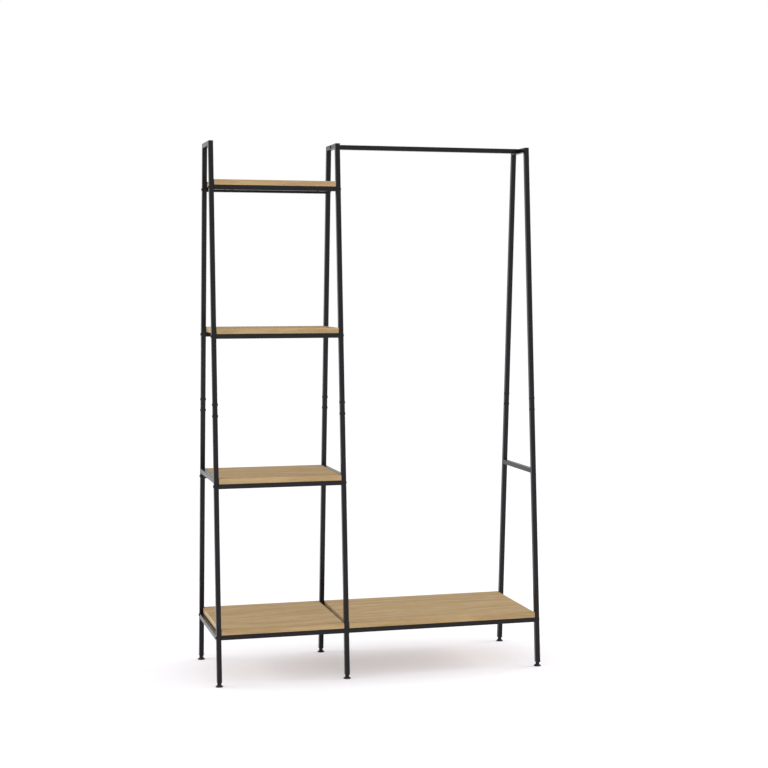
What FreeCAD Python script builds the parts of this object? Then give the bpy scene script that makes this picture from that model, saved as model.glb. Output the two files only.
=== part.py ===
import FreeCAD, Part
import math
import os

# Clothes rack of square steel tube. Three leaning end frames carry a bay of
# four shelves on the left and, on the right, a hanging rail over a long shelf.
# Millimetres, +Z up, the front is -Y and the left is -X.
# The origin is on the floor, in the middle of the rack.

V = FreeCAD.Vector
LEFT_TO_RIGHT = V(1, 0, 0)
RIGHT_TO_LEFT = V(-1, 0, 0)
FRONT_TO_BACK = V(0, 1, 0)
UP = V(0, 0, 1)
DOWN = V(0, 0, -1)
FRONT = -1
BACK = 1
HEX_SIDES = 6

# Overall sizes
rack_height = 1800.0
left_bay = 432.5
right_bay = 679.5
foot_spread = 401.0
top_spread = 128.0
leg_lift = 14.0
splice_height = 906.0

# Square tube of all frames and rails
tube = 16.0
tube_wall = 1.2
tube_corner = 1.5
bore_corner = 0.5

# Shelf levels, measured to the middle of the rails
shelf_levels = 4
bottom_rail_height = 160.6
top_shelf_drop = 154.9
mid_crossbar_rise = 18.4
bottom_crossbar_drop = 3.0

# Shelf boards
board_thickness = 18.0
board_end_gap = 1.0
board_edge_radius = 0.8

# How far the left bay's bottom board reaches over the left crossbar
bottom_board_overlap = 4.5

# Inner sleeve that joins a lower leg to an upper leg
sleeve_length = 80.0
sleeve_wall = 1.5
sleeve_corner = 0.8
splice_bolt_spacing = 38.0

# Domed bolt heads: the flat's share of the radius, and the shoulder's share of the height
head_flat_share = 0.55
head_shoulder_share = 0.72

# Splice bolts and nuts
splice_bolt_dia = 5.0
splice_head_dia = 9.5
splice_head_height = 1.8
splice_nut_flats = 8.0
splice_nut_height = 2.2
splice_nut_face = 7.6
nut_bevel_share = 0.5
splice_bolt_end = 0.3
splice_key_flats = 3.0
splice_key_depth = 1.2

# Bolts that hold the rails, and the threaded plugs in the rail ends
rail_bolt_dia = 6.0
rail_head_dia = 10.5
rail_head_height = 2.4
rail_bolt_grip = 14.0
rail_key_flats = 4.0
rail_key_depth = 1.6
plug_length = 18.0
plug_corner = 0.8

# Screws that hold the boards from inside the rails
screw_dia = 4.0
screw_head_dia = 7.6
screw_head_height = 2.4
screw_depth = 13.0
screw_inset = 62.0
screw_access_dia = 9.0

# Levelling feet
pad_dia = 25.0
pad_height = 6.0
pad_rim = 2.2
pad_edge = 0.8
pad_neck_dia = 15.5
stem_dia = 8.0
stem_length = 31.0
stem_tip = 1.0
spigot_dia = 6.0
spigot_depth = 3.4
hex_flats = 12.0
hex_height = 6.0
foot_plug_height = 16.0

# Clearances
seat_gap = 0.1
bolt_gap = 0.1
thread_gap = 0.05
spigot_floor_gap = 0.1
cut_overrun = 2.0

# Places that follow from the sizes above
half_tube = tube / 2
left_x = -(left_bay + right_bay) / 2
middle_x = left_x + left_bay
right_x = middle_x + right_bay
top_bar_height = rack_height - half_tube
shelf_pitch = (rack_height - top_shelf_drop - bottom_rail_height) / (shelf_levels - 1)
mid_crossbar_height = bottom_rail_height + shelf_pitch + mid_crossbar_rise
bottom_crossbar_height = bottom_rail_height - bottom_crossbar_drop
bore = tube - 2 * tube_wall
fitted = bore - 2 * seat_gap

frame_places = {"left": left_x, "middle": middle_x, "right": right_x}
leg_sides = {"front": FRONT, "back": BACK}


def level_height(level):
    """Height of the rails of a shelf, where level 1 is the top shelf."""
    return bottom_rail_height + (shelf_levels - level) * shelf_pitch


def half_spread(height):
    """Distance from the middle plane to a leg's axis at a height."""
    return (foot_spread - (foot_spread - top_spread) * height / rack_height) / 2


def leg_point(x, side, height):
    """Point on a leg's axis at a height."""
    return V(x, side * half_spread(height), height)


def leg_direction(side):
    """Unit vector up a leg's axis."""
    rise = leg_point(0, side, rack_height) - leg_point(0, side, 0)
    return rise.normalize()


def inward(side):
    """Unit vector square to a leg's axis, from its inner face to the middle of the rack."""
    return LEFT_TO_RIGHT.cross(leg_direction(side)) * side


def placed(shape, point, direction):
    """Copy of a shape modelled along +Z, with its base at a point and its axis along a direction."""
    moved = shape.copy()
    moved.Placement = FreeCAD.Placement(point, FreeCAD.Rotation(UP, direction))
    return moved


def square_bar(width, corner, length):
    """Square bar with rounded long edges, standing on the origin."""
    half = width / 2
    bar = Part.makeBox(width, width, length, V(-half, -half, 0))
    long_edges = [edge for edge in bar.Edges if edge.BoundBox.ZLength > corner]
    return bar.makeFillet(corner, long_edges)


def square_tube(width, wall, corner, inner_corner, length):
    """Square tube with rounded long edges, standing on the origin."""
    inside = square_bar(width - 2 * wall, inner_corner, length + 2 * cut_overrun)
    inside.translate(V(0, 0, -cut_overrun))
    return square_bar(width, corner, length).cut(inside)


def frame_tube(start, end):
    """Length of the rack's tube between two points."""
    run = end - start
    blank = square_tube(tube, tube_wall, tube_corner, bore_corner, run.Length)
    return placed(blank, start, run)


def trim(shape, point, normal):
    """Cut away what lies beyond a plane, on the side that its normal points to."""
    half = foot_spread / 2
    block = Part.makeBox(foot_spread, foot_spread, foot_spread, V(-half, -half, 0))
    return shape.cut(placed(block, point, normal))


def cylinder(dia, length, point, direction):
    """Round bar from a point along a direction."""
    return placed(Part.makeCylinder(dia / 2, length), point, direction)


def hex_bar(flats, length):
    """Hexagonal bar, standing on the origin."""
    turn = 2 * math.pi / HEX_SIDES
    radius = flats / 2 / math.cos(turn / 2)
    corners = []
    for k in range(HEX_SIDES + 1):
        corners.append(V(radius * math.cos(k * turn), radius * math.sin(k * turn), 0))
    return Part.Face(Part.makePolygon(corners)).extrude(V(0, 0, length))


def cross_hole(x, y, height, dia):
    """Hole from left to right through a tube that stands at x."""
    start = V(x - half_tube - cut_overrun, y, height)
    return cylinder(dia + 2 * bolt_gap, tube + 2 * cut_overrun, start, LEFT_TO_RIGHT)


def single(shape):
    """The one solid of a cut shape."""
    return shape.Solids[0] if len(shape.Solids) == 1 else shape


# Frames


def splice_bolt_point(x, side, up_or_down):
    """Middle of a splice bolt, above (+1) or below (-1) the joint of a leg."""
    along = leg_direction(side) * (up_or_down * splice_bolt_spacing / 2)
    return leg_point(x, side, splice_height) + along


def rail_levels(frame):
    """Shelf levels whose rails are bolted to a frame."""
    return [shelf_levels] if frame == "right" else list(range(1, shelf_levels + 1))


def leg_holes(frame, side, lower):
    """Bolt holes of a lower or an upper leg."""
    x = frame_places[frame]
    splice = splice_bolt_point(x, side, -1 if lower else 1)
    holes = [cross_hole(x, splice.y, splice.z, splice_bolt_dia)]
    for level in rail_levels(frame):
        height = level_height(level)
        if (height < splice_height) == lower:
            holes.append(cross_hole(x, side * half_spread(height), height, rail_bolt_dia))
    return holes


def lower_leg(frame, side):
    """Leg from its level foot to the square joint."""
    x = frame_places[frame]
    foot = leg_point(x, side, leg_lift)
    blank = frame_tube(leg_point(x, side, leg_lift - half_tube), leg_point(x, side, splice_height))
    leg = trim(blank, foot, DOWN)
    return single(leg.cut(leg_holes(frame, side, True)))


def mitre_normal(side):
    """Normal of the mitre plane between a leg and the top bar, pointing from the leg to the bar."""
    into_bar = FRONT_TO_BACK * (-side)
    return (leg_direction(side) + into_bar).normalize()


def upper_leg(frame, side):
    """Leg from the square joint to the mitred top corner."""
    x = frame_places[frame]
    blank = frame_tube(leg_point(x, side, splice_height), leg_point(x, side, rack_height + half_tube))
    leg = trim(blank, leg_point(x, side, top_bar_height), mitre_normal(side))
    return single(leg.cut(leg_holes(frame, side, False)))


def top_bar(frame):
    """Short bar across the top, mitred to both legs, drilled where the hanging rail is bolted."""
    x = frame_places[frame]
    reach = half_spread(top_bar_height) + tube
    bar = frame_tube(V(x, -reach, top_bar_height), V(x, reach, top_bar_height))
    for side in leg_sides.values():
        bar = trim(bar, leg_point(x, side, top_bar_height), mitre_normal(side) * -1)
    if frame != "left":
        bar = bar.cut(cross_hole(x, 0, top_bar_height, rail_bolt_dia))
    return single(bar)


def crossbar(frame, height):
    """Bar between the inner faces of the two legs of a frame."""
    x = frame_places[frame]
    reach = half_spread(height)
    bar = frame_tube(V(x, -reach, height), V(x, reach, height))
    for side in leg_sides.values():
        face = leg_point(x, side, height) + inward(side) * half_tube
        bar = trim(bar, face, inward(side) * -1)
    return single(bar)


def splice_sleeve(frame, side):
    """Inner sleeve across the joint of a leg."""
    x = frame_places[frame]
    direction = leg_direction(side)
    start = leg_point(x, side, splice_height) - direction * (sleeve_length / 2)
    blank = square_tube(fitted, sleeve_wall, sleeve_corner, bore_corner, sleeve_length)
    sleeve = placed(blank, start, direction)
    for up_or_down in (-1, 1):
        point = splice_bolt_point(x, side, up_or_down)
        sleeve = sleeve.cut(cross_hole(x, point.y, point.z, splice_bolt_dia))
    return single(sleeve)


# Fasteners


def button_bolt(dia, length, head_dia, head_height, key_flats, key_depth):
    """Bolt along +Z with its domed head below the origin and a hexagon key recess."""
    shank = Part.makeCylinder(dia / 2, length)
    crown = head_dia / 2 * head_flat_share
    rim = V(head_dia / 2, 0, 0)
    shoulder = V((head_dia / 2 + crown) / 2, 0, -head_height * head_shoulder_share)
    top = V(crown, 0, -head_height)
    dome = Part.Arc(rim, shoulder, top).toShape()
    flat = Part.makeLine(top, V(0, 0, -head_height))
    axis = Part.makeLine(V(0, 0, -head_height), V(0, 0, 0))
    under = Part.makeLine(V(0, 0, 0), rim)
    head = Part.Face(Part.Wire([dome, flat, axis, under])).revolve(V(0, 0, 0), UP, 360)
    key = hex_bar(key_flats, key_depth + cut_overrun)
    key.translate(V(0, 0, -head_height - cut_overrun))
    return single(head.fuse(shank).removeSplitter().cut(key))


def splice_bolts():
    """Two bolts through each leg joint, with their heads on the left face."""
    length = tube + splice_nut_height + splice_bolt_end
    bolt = button_bolt(splice_bolt_dia, length, splice_head_dia, splice_head_height,
                       splice_key_flats, splice_key_depth)
    solids = []
    for x in frame_places.values():
        for side in leg_sides.values():
            for up_or_down in (-1, 1):
                point = splice_bolt_point(x, side, up_or_down) - LEFT_TO_RIGHT * half_tube
                solids.append(placed(bolt, point, LEFT_TO_RIGHT))
    return solids


def nut_bevel():
    """Double cone that bevels the corners of a splice nut, standing on the origin."""
    face = splice_nut_face / 2
    widest = splice_nut_flats / math.cos(math.pi / HEX_SIDES) / 2
    bevel = (widest - face) * nut_bevel_share
    outline = [V(0, 0, 0), V(face, 0, 0), V(widest, 0, bevel), V(widest, 0, splice_nut_height - bevel),
               V(face, 0, splice_nut_height), V(0, 0, splice_nut_height), V(0, 0, 0)]
    return Part.Face(Part.makePolygon(outline)).revolve(V(0, 0, 0), UP, 360)


def splice_nuts():
    """Nut on the right face for each splice bolt."""
    hole = Part.makeCylinder(splice_bolt_dia / 2 + thread_gap, splice_nut_height + 2 * cut_overrun)
    hole.translate(V(0, 0, -cut_overrun))
    nut = hex_bar(splice_nut_flats, splice_nut_height).common(nut_bevel()).cut(hole)
    solids = []
    for x in frame_places.values():
        for side in leg_sides.values():
            for up_or_down in (-1, 1):
                point = splice_bolt_point(x, side, up_or_down) + LEFT_TO_RIGHT * half_tube
                solids.append(placed(nut, point, LEFT_TO_RIGHT))
    return solids


def rail_bolt(point, direction):
    """Bolt with its head on a frame's face, reaching through the tube into a plug."""
    bolt = button_bolt(rail_bolt_dia, tube + rail_bolt_grip, rail_head_dia, rail_head_height,
                       rail_key_flats, rail_key_depth)
    return placed(bolt, point, direction)


def rail_points(level):
    """Side and axis point, at x = 0, of the front and back rail of a level."""
    height = level_height(level)
    return [V(0, side * half_spread(height), height) for side in leg_sides.values()]


def rail_bolts():
    """Bolts of all rails that can be reached from outside the rack or from the open bay."""
    solids = []
    for level in rail_levels("left"):
        for point in rail_points(level):
            solids.append(rail_bolt(point + V(left_x - half_tube, 0, 0), LEFT_TO_RIGHT))
            if level < shelf_levels:
                solids.append(rail_bolt(point + V(middle_x + half_tube, 0, 0), RIGHT_TO_LEFT))
    for point in rail_points(shelf_levels):
        solids.append(rail_bolt(point + V(right_x + half_tube, 0, 0), RIGHT_TO_LEFT))
    return solids


def middle_studs():
    """Studs through the middle legs that hold a bottom rail on both sides."""
    length = tube + 2 * rail_bolt_grip
    solids = []
    for point in rail_points(shelf_levels):
        start = point + V(middle_x - length / 2, 0, 0)
        solids.append(cylinder(rail_bolt_dia, length, start, LEFT_TO_RIGHT))
    return solids


def hanging_rail_bolts():
    """One bolt through the middle top bar and one through the right top bar."""
    height = V(0, 0, top_bar_height)
    left = rail_bolt(height + V(middle_x - half_tube, 0, 0), LEFT_TO_RIGHT)
    right = rail_bolt(height + V(right_x + half_tube, 0, 0), RIGHT_TO_LEFT)
    return [left, right]


def end_plug(point, direction):
    """Threaded plug inside the end of a rail."""
    hole = Part.makeCylinder(rail_bolt_dia / 2 + thread_gap, plug_length + 2 * cut_overrun)
    hole.translate(V(0, 0, -cut_overrun))
    plug = square_bar(fitted, plug_corner, plug_length).cut(hole)
    return placed(plug, point, direction)


def plug_pair(start_frame, end_frame, point):
    """Plugs in both ends of a rail between two frames."""
    start = point + V(frame_places[start_frame] + half_tube, 0, 0)
    end = point + V(frame_places[end_frame] - half_tube, 0, 0)
    return [end_plug(start, LEFT_TO_RIGHT), end_plug(end, RIGHT_TO_LEFT)]


def rail_plugs():
    """Plugs of all shelf rails."""
    solids = []
    for level in rail_levels("left"):
        for point in rail_points(level):
            solids.extend(plug_pair("left", "middle", point))
    for point in rail_points(shelf_levels):
        solids.extend(plug_pair("middle", "right", point))
    return solids


# Rails and shelves


def screw_stations(start_frame, end_frame):
    """Places along X of the screws of a board."""
    start = frame_places[start_frame] + half_tube + screw_inset
    end = frame_places[end_frame] - half_tube - screw_inset
    return [start, end]


def shelf_rail(start_frame, end_frame, point):
    """Rail between two frames, drilled for the board screws."""
    start = point + V(frame_places[start_frame] + half_tube, 0, 0)
    end = point + V(frame_places[end_frame] - half_tube, 0, 0)
    rail = frame_tube(start, end)
    cuts = []
    for x in screw_stations(start_frame, end_frame):
        access = V(x, point.y, point.z - half_tube - cut_overrun)
        cuts.append(cylinder(screw_access_dia, tube_wall + 2 * cut_overrun, access, UP))
        cuts.append(cylinder(screw_dia + 2 * bolt_gap, tube, V(x, point.y, point.z), UP))
    return single(rail.cut(cuts))


def hanging_rail():
    """Rail for the hangers, between the middle and the right top bar."""
    start = V(middle_x + half_tube, 0, top_bar_height)
    end = V(right_x - half_tube, 0, top_bar_height)
    return frame_tube(start, end)


def shelf_screw(x, point):
    """Screw with its head inside the rail, up into the board."""
    seat = point.z + half_tube - tube_wall
    head = cylinder(screw_head_dia, screw_head_height, V(x, point.y, seat - screw_head_height), UP)
    shank = cylinder(screw_dia, tube_wall + screw_depth, V(x, point.y, seat), UP)
    return single(head.fuse(shank).removeSplitter())


def bay_screws(start_frame, end_frame, level):
    """Four screws of one board."""
    stations = screw_stations(start_frame, end_frame)
    return [shelf_screw(x, point) for x in stations for point in rail_points(level)]


def shelf_screws():
    """Screws of all boards."""
    solids = []
    for level in rail_levels("left"):
        solids.extend(bay_screws("left", "middle", level))
    solids.extend(bay_screws("middle", "right", shelf_levels))
    return solids


def notched_board(board, start):
    """Bottom board that reaches over the crossbar on its left, cut out round the legs up to start."""
    box = board.BoundBox
    leg_face = half_spread(box.ZMax) - half_tube / leg_direction(FRONT).z - board_end_gap
    notches = []
    for low, high in ((box.YMin - cut_overrun, -leg_face), (leg_face, box.YMax + cut_overrun)):
        corner = V(box.XMin - cut_overrun, low, box.ZMin - cut_overrun)
        size = V(start - box.XMin + cut_overrun, high - low, board_thickness + 2 * cut_overrun)
        notches.append(Part.makeBox(size.x, size.y, size.z, corner))
    return single(board.cut(notches))


def shelf_board(start_frame, end_frame, level):
    """Board that lies on two rails, as deep as they stand apart, between two frames."""
    start = frame_places[start_frame] + half_tube + board_end_gap
    end = frame_places[end_frame] - half_tube - board_end_gap
    height = level_height(level)
    depth = 2 * half_spread(height) + tube
    overlap = bottom_board_overlap if (start_frame, level) == ("left", shelf_levels) else 0
    corner = V(start - overlap, -depth / 2, height + half_tube)
    board = Part.makeBox(end - start + overlap, depth, board_thickness, corner)
    if overlap:
        board = notched_board(board, start)
    board = board.makeFillet(board_edge_radius, board.Edges)
    holes = []
    for x in screw_stations(start_frame, end_frame):
        for point in rail_points(level):
            base = V(x, point.y, height + half_tube - cut_overrun)
            depth_in = screw_depth + bolt_gap + cut_overrun
            holes.append(cylinder(screw_dia + 2 * bolt_gap, depth_in, base, UP))
    return single(board.cut(holes))


# Levelling feet


def foot_axis(x, side):
    """Floor point below the middle of a leg's foot plug."""
    middle = leg_point(x, side, leg_lift + foot_plug_height / 2)
    return V(x, middle.y, 0)


def foot_plug(frame, side):
    """Plug in the bottom end of a leg, with an upright thread for the foot."""
    x = frame_places[frame]
    low = leg_point(x, side, leg_lift - half_tube)
    high = leg_point(x, side, leg_lift + foot_plug_height)
    run = high - low
    plug = trim(placed(square_bar(fitted, plug_corner, run.Length), low, run),
                leg_point(x, side, leg_lift), DOWN)
    thread = cylinder(stem_dia + 2 * thread_gap, foot_plug_height + tube + cut_overrun,
                      foot_axis(x, side), UP)
    return single(plug.cut(thread))


def foot_pad(frame, side):
    """Round pad on the floor, coned up to a neck, with a socket for the stem's spigot."""
    rim = Part.makeCylinder(pad_dia / 2, pad_rim)
    top_edge = [edge for edge in rim.Edges if edge.BoundBox.ZMin > pad_rim / 2]
    rim = rim.makeFillet(pad_edge, top_edge)
    foot = pad_dia / 2 - pad_edge
    cone = Part.makeCone(foot, pad_neck_dia / 2, pad_height - pad_rim, V(0, 0, pad_rim))
    pad = rim.fuse(cone).removeSplitter()
    socket_depth = spigot_depth + spigot_floor_gap
    socket = Part.makeCylinder(spigot_dia / 2 + thread_gap, socket_depth + cut_overrun)
    socket.translate(V(0, 0, pad_height - socket_depth))
    pad = pad.cut(socket)
    return single(placed(pad, foot_axis(frame_places[frame], side), UP))


def foot_stem(frame, side):
    """Stem with a spigot in the pad, a hexagon for the spanner and the thread's body."""
    spigot = Part.makeCylinder(spigot_dia / 2, spigot_depth, V(0, 0, pad_height - spigot_depth))
    collar = hex_bar(hex_flats, hex_height)
    collar.translate(V(0, 0, pad_height))
    radius = stem_dia / 2
    base = pad_height + hex_height
    tip_base = base + stem_length - stem_tip
    body = Part.makeCylinder(radius, stem_length - stem_tip, V(0, 0, base))
    tip = Part.makeCone(radius, radius - stem_tip, stem_tip, V(0, 0, tip_base))
    stem = spigot.fuse([collar, body, tip]).removeSplitter()
    return single(placed(stem, foot_axis(frame_places[frame], side), UP))


def build_nodes():
    """All nodes by name, each a solid or a list of separate like solids."""
    nodes = {}
    for frame in frame_places:
        for name, side in leg_sides.items():
            nodes["%s_upper_leg_%s" % (name, frame)] = upper_leg(frame, side)
            nodes["%s_lower_leg_%s" % (name, frame)] = lower_leg(frame, side)
            nodes["foot_pad_%s_%s" % (name, frame)] = foot_pad(frame, side)
            nodes["foot_stem_%s_%s" % (name, frame)] = foot_stem(frame, side)
        nodes["top_bar_%s" % frame] = top_bar(frame)
        nodes["mid_crossbar_%s" % frame] = crossbar(frame, mid_crossbar_height)
        nodes["bottom_crossbar_%s" % frame] = crossbar(frame, bottom_crossbar_height)
    for level in rail_levels("left"):
        for name, point in zip(leg_sides, rail_points(level)):
            nodes["%s_rail_%d" % (name, level)] = shelf_rail("left", "middle", point)
        nodes["shelf_%d" % level] = shelf_board("left", "middle", level)
    for name, point in zip(leg_sides, rail_points(shelf_levels)):
        nodes["%s_rail_long" % name] = shelf_rail("middle", "right", point)
    nodes["shelf_long"] = shelf_board("middle", "right", shelf_levels)
    nodes["hanging_rail"] = hanging_rail()
    both = [(frame, side) for frame in frame_places for side in leg_sides.values()]
    nodes["splice_sleeves"] = [splice_sleeve(frame, side) for frame, side in both]
    nodes["foot_plugs"] = [foot_plug(frame, side) for frame, side in both]
    nodes["splice_bolts"] = splice_bolts()
    nodes["splice_nuts"] = splice_nuts()
    nodes["rail_bolts"] = rail_bolts()
    nodes["rail_plugs"] = rail_plugs()
    nodes["middle_studs"] = middle_studs()
    nodes["shelf_screws"] = shelf_screws()
    nodes["hanging_rail_bolts"] = hanging_rail_bolts()
    nodes["hanging_rail_plugs"] = plug_pair("middle", "right", V(0, 0, top_bar_height))
    return nodes


def main():
    """Write one file for each node."""
    os.makedirs("parts", exist_ok=True)
    for name, shape in build_nodes().items():
        whole = Part.makeCompound(shape) if isinstance(shape, list) else shape
        whole.exportStep("parts/%s.step" % name)


main()
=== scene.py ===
"""Clothes rack of square black tube with oak boards, dressed around its CAD frame.

Everything is in metres, in the frame's own axes: +Z up, the front is -Y.
"""

import logging
import math
from dataclasses import dataclass, field
from enum import Enum

import bpy
from mathutils import Euler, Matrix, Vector


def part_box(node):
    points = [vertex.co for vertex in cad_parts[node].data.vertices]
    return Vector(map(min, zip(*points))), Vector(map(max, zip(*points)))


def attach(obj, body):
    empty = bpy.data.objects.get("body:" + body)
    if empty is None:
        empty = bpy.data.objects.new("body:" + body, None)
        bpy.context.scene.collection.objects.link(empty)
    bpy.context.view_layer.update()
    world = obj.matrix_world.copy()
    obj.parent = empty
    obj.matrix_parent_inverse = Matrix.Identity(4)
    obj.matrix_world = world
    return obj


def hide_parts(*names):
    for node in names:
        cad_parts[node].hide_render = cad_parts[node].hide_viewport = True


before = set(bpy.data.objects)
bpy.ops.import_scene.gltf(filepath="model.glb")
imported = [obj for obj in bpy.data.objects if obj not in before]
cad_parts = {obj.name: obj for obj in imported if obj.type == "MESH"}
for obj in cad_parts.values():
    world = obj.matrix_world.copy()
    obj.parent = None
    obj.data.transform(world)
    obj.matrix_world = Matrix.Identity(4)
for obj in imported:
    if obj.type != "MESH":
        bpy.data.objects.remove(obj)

MM = 0.001

Colour = tuple[float, float, float]
Corners = tuple[Vector, Vector]
Pair = tuple[float, float]
Point = tuple[float, float, float]
Material = bpy.types.Material
Mesh = bpy.types.Mesh
Node = bpy.types.Node
Piece = bpy.types.Object
Socket = bpy.types.NodeSocket
Tree = bpy.types.NodeTree

logging.basicConfig(level=logging.INFO, format="%(name)s: %(message)s")
log = logging.getLogger("clothes_rack")


class FrameName(Enum):
    """The three end frames."""

    LEFT = "left"
    MIDDLE = "middle"
    RIGHT = "right"


class LegSide(Enum):
    """The two legs of an end frame, by the side that they stand on."""

    FRONT = "front"
    BACK = "back"


class ShelfName(Enum):
    """The shelves, by what the CAD nodes call them."""

    TOP = "1"
    UPPER = "2"
    LOWER = "3"
    BOTTOM = "4"
    LONG = "long"


class Slot(Enum):
    """The shared finishes, by group of parts, apart from the boards', which each get their own
    finish.
    """

    FRAME = "frame_black"
    BOLT = "bolt_black"
    ZINC = "zinc_steel"
    PLUG = "plug_plastic"
    FOOT = "foot_black"


class Effect(Enum):
    """The shader effects that several materials share."""

    EDGE_WEAR = "edge_wear"
    FINE_GRAIN = "fine_grain"
    SETTLED_DUST = "settled_dust"
    LONG_GRAIN = "long_grain"


class Axis(Enum):
    """The two level axes, by their place in a point."""

    X = 0
    Y = 1


@dataclass(frozen=True)
class Slope:
    """A straight run from one value to another, held level outside them."""

    low: float
    high: float
    at_low: float = 0.0
    at_high: float = 1.0


def opaque(colour: Colour) -> tuple[float, float, float, float]:
    """Colour with full alpha, as a colour socket takes it."""
    return (*colour, 1.0)


def put(name: str, data: bpy.types.ID) -> Piece:
    """Add an object to the scene.

    Args:
        name: name of the object.
        data: its mesh, lamp or camera.

    Returns:
        The object, at the origin.
    """
    made = bpy.data.objects.new(name, data)
    bpy.context.scene.collection.objects.link(made)
    return made


class Graph:
    """Adds and joins the nodes of one tree, for a material, a group or a shape."""

    # Places of the Mix node's colour sockets, whose names others share.
    COLOUR_MIX_A = 6
    COLOUR_MIX_B = 7
    COLOUR_MIX_OUT = 2

    def __init__(self, tree: Tree) -> None:
        """Keep the tree that the nodes go into."""
        self.tree = tree

    def add(self, kind: str, inputs: dict | None = None, **settings: object) -> Node:
        """Add a node.

        Args:
            kind: type name of the node.
            inputs: input name or place, with a constant or the socket that feeds it.
            settings: properties of the node.

        Returns:
            The new node.
        """
        made = self.tree.nodes.new(kind)
        for name, value in settings.items():
            setattr(made, name, value)
        for key, value in (inputs or {}).items():
            if isinstance(value, Socket):
                self.link(value, made.inputs[key])
            else:
                made.inputs[key].default_value = value
        return made

    def link(self, source: Socket, target: Socket) -> None:
        """Feed an input from an output."""
        self.tree.links.new(source, target)

    def math(self, operation: str, *terms: object, clamp: bool = False) -> Socket:
        """Add a Math node.

        Args:
            operation: the node's operation.
            terms: constants or sockets, in order.
            clamp: whether the result is kept from 0 to 1.

        Returns:
            The result socket.
        """
        inputs = dict(enumerate(terms))
        made = self.add("ShaderNodeMath", inputs, operation=operation, use_clamp=clamp)
        return made.outputs[0]

    def vector(self, operation: str, *terms: Socket) -> Node:
        """Add a Vector Math node, whose result is a vector or a value."""
        return self.add("ShaderNodeVectorMath", dict(enumerate(terms)), operation=operation)

    def weighted_sum(self, *parts: tuple[Socket, float]) -> Socket:
        """Add up values by their weights.

        Args:
            parts: sockets, each with its weight.

        Returns:
            The sum's socket.
        """
        terms = [self.math("MULTIPLY", value, weight) for value, weight in parts]
        total = terms[0]
        for term in terms[1:]:
            total = self.math("ADD", total, term)
        return total

    def cover(self, under: Socket, mask: Socket, colour: Colour) -> Socket:
        """Lay a colour over the one below, as far as a mask lets it show."""
        inputs = {0: mask, self.COLOUR_MIX_A: under, self.COLOUR_MIX_B: opaque(colour)}
        return self.add("ShaderNodeMix", inputs, data_type="RGBA").outputs[self.COLOUR_MIX_OUT]

    def ramp(self, value: Socket, stops: list[tuple[float, Colour]]) -> Socket:
        """Look a value up in a colour ramp.

        Args:
            value: socket that is looked up.
            stops: places from 0 to 1 with their colours, in order.

        Returns:
            The colour socket.
        """
        made = self.add("ShaderNodeValToRGB", {0: value})
        elements = made.color_ramp.elements
        while len(elements) < len(stops):
            elements.new(1.0)
        for element, (place, colour) in zip(elements, stops):
            element.position = place
            element.color = opaque(colour)
        return made.outputs[0]

    def slope(self, value: Socket, slope: Slope) -> Socket:
        """Map a value by a slope."""
        inputs = {0: value, 1: slope.low, 2: slope.high, 3: slope.at_low, 4: slope.at_high}
        return self.add("ShaderNodeMapRange", inputs).outputs[0]

    def noise(self, place: Socket, scale: Socket, detail: float, rough: float,
              warp: float = 0.0) -> Socket:
        """Add a noise texture.

        Args:
            place: socket with the coordinates.
            scale: socket with the cells for each metre of the coordinates.
            detail: octaves.
            rough: share of the finer octaves.
            warp: distortion.

        Returns:
            The noise value, about 0.3 to 0.7 and 0.5 on average.
        """
        inputs = {"Vector": place, "Scale": scale, "Detail": detail,
                  "Roughness": rough, "Distortion": warp}
        return self.add("ShaderNodeTexNoise", inputs).outputs[0]

    def coordinates(self) -> Socket:
        """Object coordinates."""
        return self.add("ShaderNodeTexCoord").outputs["Object"]

    def normal(self) -> Socket:
        """Normal of the face, without any relief."""
        return self.add("ShaderNodeNewGeometry").outputs["Normal"]

    def split(self, vector: Socket) -> Node:
        """Separate a vector into X, Y and Z."""
        return self.add("ShaderNodeSeparateXYZ", {0: vector})


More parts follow.
